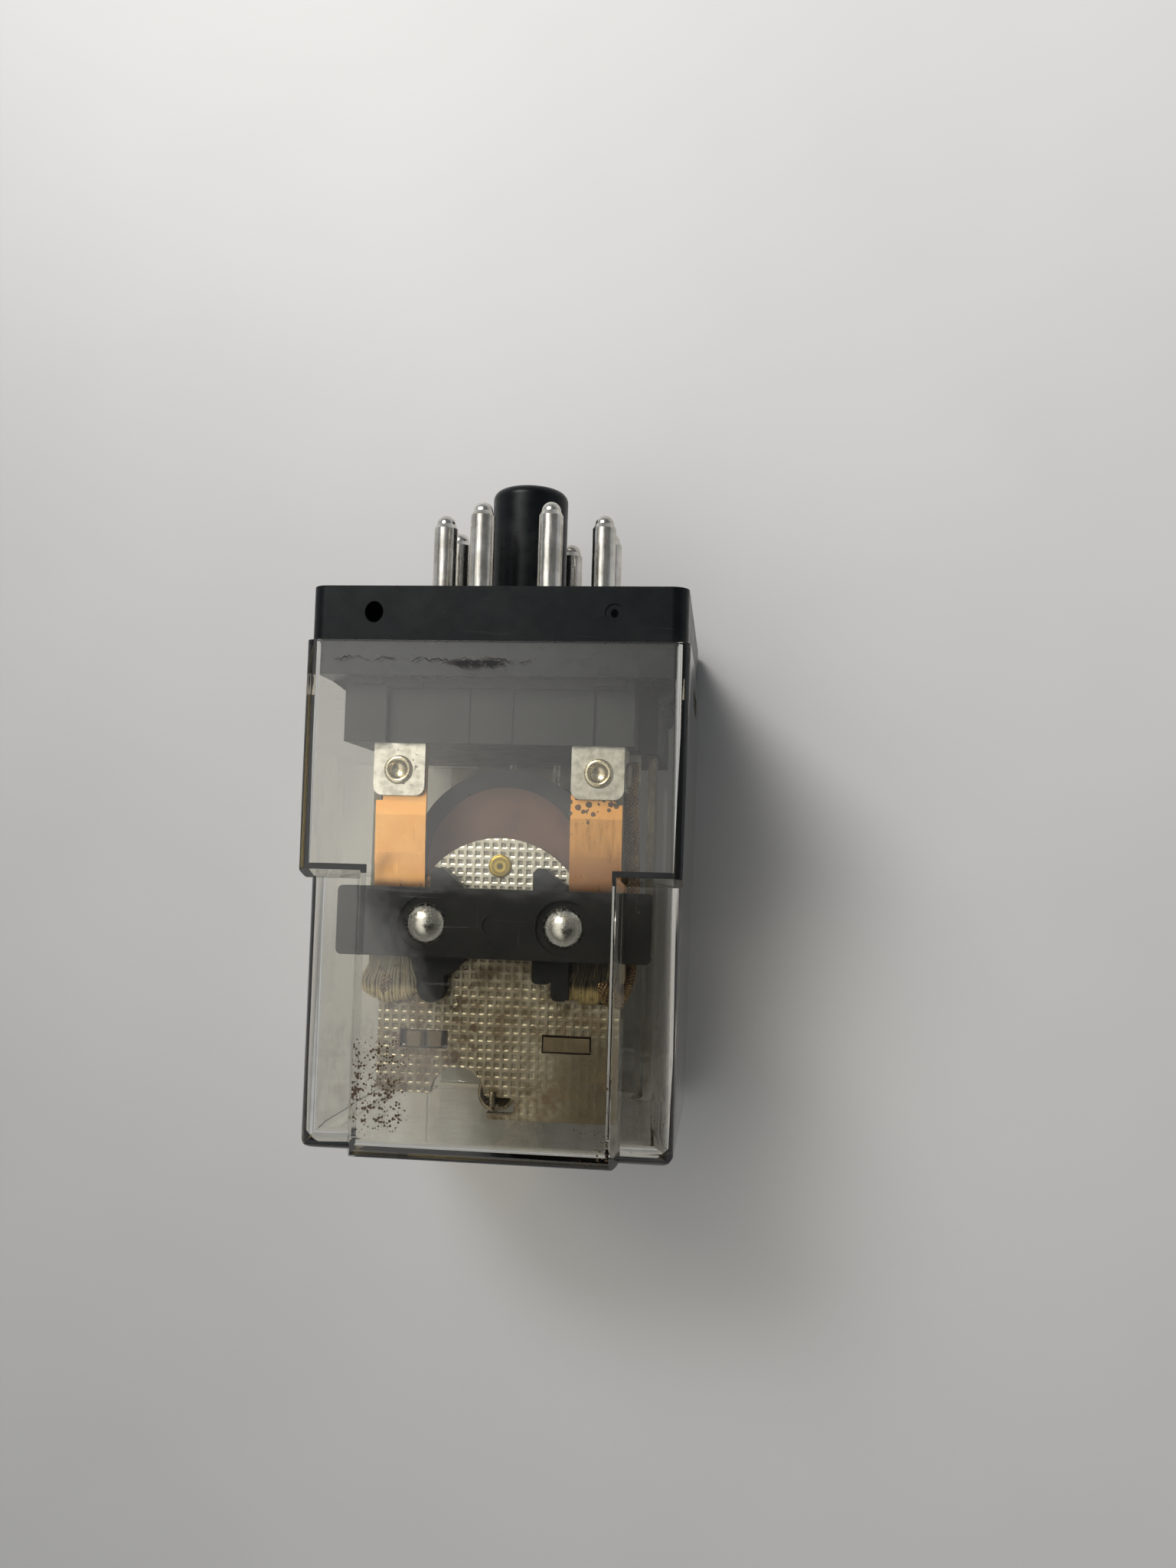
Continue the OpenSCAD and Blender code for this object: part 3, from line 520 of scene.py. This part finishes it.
def sweep(bm, pts, r, sides):
    """A round wire of radius r along pts, with flat ends."""
    pts = [Vector(p) for p in pts]
    last = len(pts) - 1
    rings = []
    side = None
    for i, p in enumerate(pts):
        t = (pts[min(i + 1, last)] - pts[max(i - 1, 0)]).normalized()
        if side is None:
            side = t.orthogonal().normalized()
        side = (side - t * side.dot(t)).normalized()
        up = t.cross(side)
        rings.append([bm.verts.new(p + (side * math.cos(a) + up * math.sin(a)) * r)
                      for a in (2 * math.pi * k / sides for k in range(sides))])
    for a, b in zip(rings, rings[1:]):
        for k in range(sides):
            f = bm.faces.new((a[k], a[(k + 1) % sides], b[(k + 1) % sides], b[k]))
            f.smooth = True
    bm.faces.new(rings[0][::-1])
    bm.faces.new(rings[-1])


def lathe(bm, profile, centre, segments=48):
    """Turns a profile of (radius, height) pairs, in mm, about the Z axis at centre."""
    cx, cy, cz = centre
    rings = []
    for r, h in profile:
        if r < 1e-6:
            rings.append([bm.verts.new((cx * MM, cy * MM, (cz + h) * MM))])
            continue
        rings.append([bm.verts.new(((cx + r * math.cos(a)) * MM, (cy + r * math.sin(a)) * MM,
                                    (cz + h) * MM))
                      for a in (2 * math.pi * k / segments for k in range(segments))])
    for a, b in zip(rings, rings[1:]):
        for k in range(segments):
            q = (k + 1) % segments
            loop = [a[k % len(a)], a[q % len(a)], b[q % len(b)], b[k % len(b)]]
            loop = list(dict.fromkeys(loop))
            if len(loop) > 2:
                f = bm.faces.new(loop)
                f.smooth = True


def curve(points, step):
    """Points every step mm or so along a smooth curve through points (Catmull-Rom)."""
    p = [Vector(q) for q in points]
    p = [p[0] * 2 - p[1], *p, p[-1] * 2 - p[-2]]
    out = []
    for a, b, c, d in zip(p, p[1:], p[2:], p[3:]):
        n = max(2, int((c - b).length / step))
        for i in range(n):
            t = i / n
            out.append(0.5 * ((2 * b) + (c - a) * t + (2 * a - 5 * b + 4 * c - d) * t * t
                              + (3 * b - a - 3 * c + d) * t ** 3))
    out.append(p[-2])
    return out


# The armature: the CAD outline, embossed all over with a fine waffle

def waffle_armature():
    """Embosses a slab with rows of shallow pits and cuts it to the armature's outline."""
    lo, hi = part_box("armature")
    pitch, mouth, floor, deep, skin = (v * MM for v in (0.81, 0.58, 0.30, 0.055, 0.01))
    bm = bmesh.new()
    x0, y0 = lo.x - 0.4 * MM, lo.y - 0.4 * MM
    nx = int((hi.x - x0) / pitch) + 2
    ny = int((hi.y - y0) / pitch) + 2
    cuts = [0, (pitch - mouth) / 2, (pitch - floor) / 2, (pitch + floor) / 2,
            (pitch + mouth) / 2]
    xs = [x0 + i * pitch + c for i in range(nx) for c in cuts] + [x0 + nx * pitch]
    ys = [y0 + i * pitch + c for i in range(ny) for c in cuts] + [y0 + ny * pitch]
    rng = random.Random(4)
    wear = {(i, j): rng.uniform(0.85, 1.0) for i in range(nx + 1) for j in range(ny + 1)}

    def height(i, j):
        if i % 5 not in (2, 3) or j % 5 not in (2, 3):
            return hi.z - skin
        x, y = xs[i] / MM, ys[j] / MM
        faded = min(1, max(0, (x - 1) / 5)) * min(1, max(0, (-39 - y) / 3))
        return hi.z - skin - deep * wear[i // 5, j // 5] * (1 - 0.85 * faded)

    top = [[bm.verts.new((x, y, height(i, j))) for j, y in enumerate(ys)]
           for i, x in enumerate(xs)]
    low = [[bm.verts.new((x, y, lo.z - 1 * MM)) for j, y in enumerate(ys)]
           for i, x in enumerate(xs)]
    for i in range(len(xs) - 1):
        for j in range(len(ys) - 1):
            bm.faces.new((top[i][j], top[i + 1][j], top[i + 1][j + 1], top[i][j + 1]))
            bm.faces.new((low[i][j], low[i][j + 1], low[i + 1][j + 1], low[i + 1][j]))
    last, end = len(xs) - 1, len(ys) - 1
    for i in range(last):
        bm.faces.new((low[i][0], low[i + 1][0], top[i + 1][0], top[i][0]))
        bm.faces.new((top[i][end], top[i + 1][end], low[i + 1][end], low[i][end]))
    for j in range(end):
        bm.faces.new((top[0][j], top[0][j + 1], low[0][j + 1], low[0][j]))
        bm.faces.new((low[last][j], low[last][j + 1], top[last][j + 1], top[last][j]))
    bmesh.ops.recalc_face_normals(bm, faces=bm.faces)
    data = bpy.data.meshes.new("waffle")
    bm.to_mesh(data)
    bm.free()
    o = bpy.data.objects.new("Armature_waffle", data)
    bpy.context.scene.collection.objects.link(o)
    solid = bmesh.new()
    solid.from_mesh(NODES["armature"].data)
    bmesh.ops.remove_doubles(solid, verts=solid.verts, dist=MERGE)
    other = bpy.data.meshes.new("outline")
    solid.to_mesh(other)
    solid.free()
    cutter = bpy.data.objects.new("outline", other)
    bpy.context.scene.collection.objects.link(cutter)
    b = o.modifiers.new("Cut", "BOOLEAN")
    b.operation = "INTERSECT"
    b.solver = "EXACT"
    b.object = cutter
    final(o)
    bpy.data.objects.remove(cutter)
    o.data.materials.clear()
    o.data.materials.append(ARMATURE)
    return stand(o, "armature")


# Pigtails: woven copper braid, splayed where it is soldered to the blade

def pigtail(side, node):
    """Two counter-wound layers of strands round a core, along the pigtail's route."""
    r = 0.8
    route = [(9.9, -35.2, 11.5), (10.3, -36.4, 11.35), (10.9, -37.0, 10.4),
             (11.5, -36.5, 8.5), (11.9, -35.0, 7.0), (12.0, -33.0, 6.2), (12.1, -30, 5.9),
             (12.05, -27, 5.8), (11.9, -24, 5.8), (11.8, -21, 6.1), (11.7, -18, 6.4),
             (11.7, -14.8, 6.4)]
    line = [Vector((p[0] * side, p[1], p[2])) * MM for p in curve(route, 0.3)]
    bm = bmesh.new()
    strands, turns = 9, 7.5
    n = len(line)
    frames = []
    u = None
    for i, p in enumerate(line):
        t = (line[min(i + 1, n - 1)] - line[max(i - 1, 0)]).normalized()
        u = t.orthogonal().normalized() if u is None else (u - t * u.dot(t)).normalized()
        frames.append((p, u, t.cross(u)))
    core = [p for p, _, _ in frames]
    sweep(bm, core, 0.52 * MM, 8)
    for way in (-1, 1):
        for k in range(strands):
            pts = []
            for i, (p, u, v) in enumerate(frames):
                a = way * 2 * math.pi * (turns * i / n) + 2 * math.pi * k / strands
                over = 0.06 * math.sin(2 * strands * math.pi * turns * i / n * 0.5 + k * math.pi)
                rr = (r - 0.17 + way * over) * MM
                pts.append(p + (u * math.cos(a) + v * math.sin(a)) * rr)
            sweep(bm, pts, 0.1 * MM, 4)
    bend = ((12.1 * side * MM, -30 * MM, 5.9 * MM), (10.3 * side * MM, -36.4 * MM, 11.3 * MM))
    return add("Pigtail_braid_" + node.split("_")[1], bm, BRAID, node, bend=bend)


def braid_fan(name, material, side, root, tip, spread, length):
    """The flattened end of a pigtail: strands side by side, fanned out and bent down."""
    rng = random.Random(int(tip * 10))
    bm = bmesh.new()
    count = 19
    for layer in range(2):
        for k in range(count):
            a = 2 * k / (count - 1) - 1
            cross = a + (0.12 if layer else -0.12) * rng.uniform(0.6, 1.4)
            x0 = root + 1.5 * a
            x1 = tip + spread * cross
            y1 = length + 0.9 * a * a + rng.uniform(-0.12, 0.12)
            z = 11.75 + 0.16 * layer
            pts = curve([(x0 * side, -32.9, z), (x0 * side * 0.5 + x1 * side * 0.5, -34.6, z + 0.1),
                         (x1 * side, (y1 - 34.6) / 2, z - 0.05), (x1 * side, y1, z - 0.45),
                         (x1 * side * 0.99, y1 - 0.15, z - 1.1),
                         (x1 * side * 0.98, y1 + 0.4, z - 1.9)],
                        0.25)
            sweep(bm, [p * MM for p in pts], (0.13 + 0.03 * rng.random()) * MM, 5)
    o = add(name, bm, material, None, "armature")
    return o


def coil_spring():
    """A close-wound extension spring with a hook at its top."""
    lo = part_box("return_spring")[0]
    c = (0, SPRING_Y * MM)
    bm = bmesh.new()
    r, turns = 1.6 * MM, 26
    z0, z1 = lo.z + 0.25 * MM, SPRING_TOP * MM
    pts = []
    for i in range(turns * 20 + 1):
        a = 2 * math.pi * i / 20 - math.pi / 2
        pts.append((c[0] + r * math.cos(a), c[1] + r * math.sin(a),
                    z0 + (z1 - z0) * i / (turns * 20)))
    hook = curve([(0, -47.7, 8.6), (0.2, -47.3, 9.0), (0, -47.0, 9.6), (0, -47.0, 10.5),
                  (0, -46.7, 10.9), (0, -46.0, 10.92), (0, -45.6, 10.92)], 0.2)
    pts += [tuple(Vector(p) * MM) for p in hook]
    sweep(bm, pts, 0.25 * MM, 8)
    return add("Return_spring_coil", bm, SPRING, "return_spring",
               bend=((0, SPRING_Y * MM, z0), (0, SPRING_Y * MM, SPRING_TOP * MM)))


def turned_eyelet(side, node):
    """The rolled cup of an eyelet, turned about its own axis."""
    bm = bmesh.new()
    lathe(bm, [(0, -0.62), (0.25, -0.6), (0.5, -0.5), (0.72, -0.42), (0.8, -0.3), (0.82, -0.1),
               (0.9, -0.02), (1.05, 0.0), (1.22, -0.04), (1.32, -0.13), (1.35, -0.25),
               (1.1, -0.25), (1.1, -1.45), (1.58, -1.47), (1.6, -1.6), (1.5, -1.7), (0, -1.7)],
          (EYELET_X * side, EYELET_Y, EYELET_TOP))
    return add("Eyelet_cup_" + node.split("_")[1], bm, EYELET, node)


waffle_armature()
pigtail(-1, "pigtail_left")
pigtail(1, "pigtail_right")
braid_fan("Braid_end_left", FAN_L, -1, 9.6, 9.9, 2.3, -37.5)
braid_fan("Braid_end_right", FAN_R, 1, 9.3, 8.6, 1.9, -37.1)
coil_spring()
turned_eyelet(-1, "eyelet_left")
turned_eyelet(1, "eyelet_right")
soften("base", 0.3, "Base_moulding", 3)
soften("contact_block", 0.12, "Contact_block_moulding")
soften("bar", 0.12, "Insulating_bar_moulding")
soften("strap_left", 0.12, "Terminal_strap_left")
soften("strap_right", 0.12, "Terminal_strap_right")
soften("yoke", 0.1, "Yoke_sheet")
soften("cover", 0.2, "Cover_shell", 3, 25)


# ----------------------------------------------------------- floor, light, view

def stage():
    """A pale floor under the relay's back."""
    floor = bpy.data.meshes.new("Floor")
    half = 2.5
    z = cad_box[0][2]
    floor.from_pydata([(-half, -half, z), (half, -half, z), (half, half, z), (-half, half, z)],
                      [], [(0, 1, 2, 3)])
    g = Graph("Pale floor")
    tone = g.ramp(g.noise(60, 3), 0.3, 0.75)
    floor.materials.append(g.finish(g.shader(
        Base_Color=g.mix(tone, (0.66, 0.655, 0.65), (0.62, 0.615, 0.61)), Roughness=0.5)))
    o = bpy.data.objects.new("Floor", floor)
    bpy.context.scene.collection.objects.link(o)


def lamp(name, place, target, radius, power, colour, cone):
    """A soft spotlight whose edge fades over the scene, as light from a window does."""
    light = bpy.data.lights.new(name, "SPOT")
    light.shadow_soft_size = radius
    light.energy = power
    light.color = colour
    light.spot_size = math.radians(cone)
    light.spot_blend = 1.0
    o = bpy.data.objects.new(name, light)
    bpy.context.scene.collection.objects.link(o)
    o.location = place
    o.rotation_euler = (Vector(target) - Vector(place)).to_track_quat("-Z", "Y").to_euler()


def sky():
    """Overcast light: brightest overhead, with the dark shape of someone leaning over it."""
    w = bpy.data.worlds.new("Sky")
    bpy.context.scene.world = w
    w.use_nodes = True
    t = w.node_tree
    t.nodes.clear()
    out = t.nodes.new("ShaderNodeOutputWorld")
    back = t.nodes.new("ShaderNodeBackground")
    co = t.nodes.new("ShaderNodeTexCoord")
    sep = t.nodes.new("ShaderNodeSeparateXYZ")
    t.links.new(co.outputs["Generated"], sep.inputs[0])

    def step(value, a, b):
        n = t.nodes.new("ShaderNodeMapRange")
        n.interpolation_type = "SMOOTHSTEP"
        t.links.new(value, n.inputs["Value"])
        n.inputs["From Min"].default_value = a
        n.inputs["From Max"].default_value = b
        return n.outputs["Result"]

    def times(a, b):
        n = t.nodes.new("ShaderNodeMath")
        n.operation = "MULTIPLY"
        t.links.new(a, n.inputs[0])
        t.links.new(b, n.inputs[1])
        return n.outputs[0]

    up = step(sep.outputs[2], 0.55, 0.8)
    slant = t.nodes.new("ShaderNodeMath")
    slant.operation = "MULTIPLY_ADD"
    t.links.new(sep.outputs[1], slant.inputs[0])
    slant.inputs[1].default_value = 0.5
    t.links.new(sep.outputs[0], slant.inputs[2])
    across = step(slant.outputs[0], -0.305, -0.265)
    dark = times(times(step(sep.outputs[1], 0.005, -0.030), across), up)
    mix = t.nodes.new("ShaderNodeMix")
    mix.data_type = "RGBA"
    t.links.new(times(step(sep.outputs[2], 0.5, 0.93), step(sep.outputs[0], 0.18, -0.36)),
                mix.inputs[0])
    low = t.nodes.new("ShaderNodeMix")
    low.data_type = "RGBA"
    t.links.new(step(sep.outputs[2], 0.5, 0.1), low.inputs[0])
    low.inputs[6].default_value = (0.17, 0.175, 0.18, 1)
    low.inputs[7].default_value = (0.50, 0.52, 0.55, 1)
    t.links.new(low.outputs[2], mix.inputs[6])
    mix.inputs[7].default_value = (1.38, 1.37, 1.35, 1)
    person = t.nodes.new("ShaderNodeMix")
    person.data_type = "RGBA"
    t.links.new(dark, person.inputs[0])
    t.links.new(mix.outputs[2], person.inputs[6])
    person.inputs[7].default_value = (0.035, 0.035, 0.035, 1)
    t.links.new(person.outputs[2], back.inputs["Color"])
    back.inputs["Strength"].default_value = 1.0
    t.links.new(back.outputs[0], out.inputs["Surface"])


def camera():
    """The view from a phone held about 13 cm over the relay, tilted a few degrees."""
    rx, ry, rz = (math.radians(a) for a in CAMERA_TILT)
    turn = Matrix.Rotation(rz, 3, "Z") @ Matrix.Rotation(ry, 3, "Y") @ Matrix.Rotation(rx, 3, "X")
    cam = bpy.data.cameras.new("Camera")
    cam.sensor_width = 36
    cam.lens = 28.98
    cam.clip_start = 0.005
    o = bpy.data.objects.new("Camera", cam)
    bpy.context.scene.collection.objects.link(o)
    back = turn.transposed()
    o.matrix_world = Matrix.Translation(back @ Vector(CAMERA_PLACE) * MM) @ back.to_4x4()
    bpy.context.scene.camera = o


stage()
sky()
lamp("Window", (-0.22, 0.38, 0.42), (0.02, 0.18, 0), 0.17, 19.0, (1.0, 0.98, 0.95), 52)
camera()
bpy.context.scene.view_settings.view_transform = "Standard"
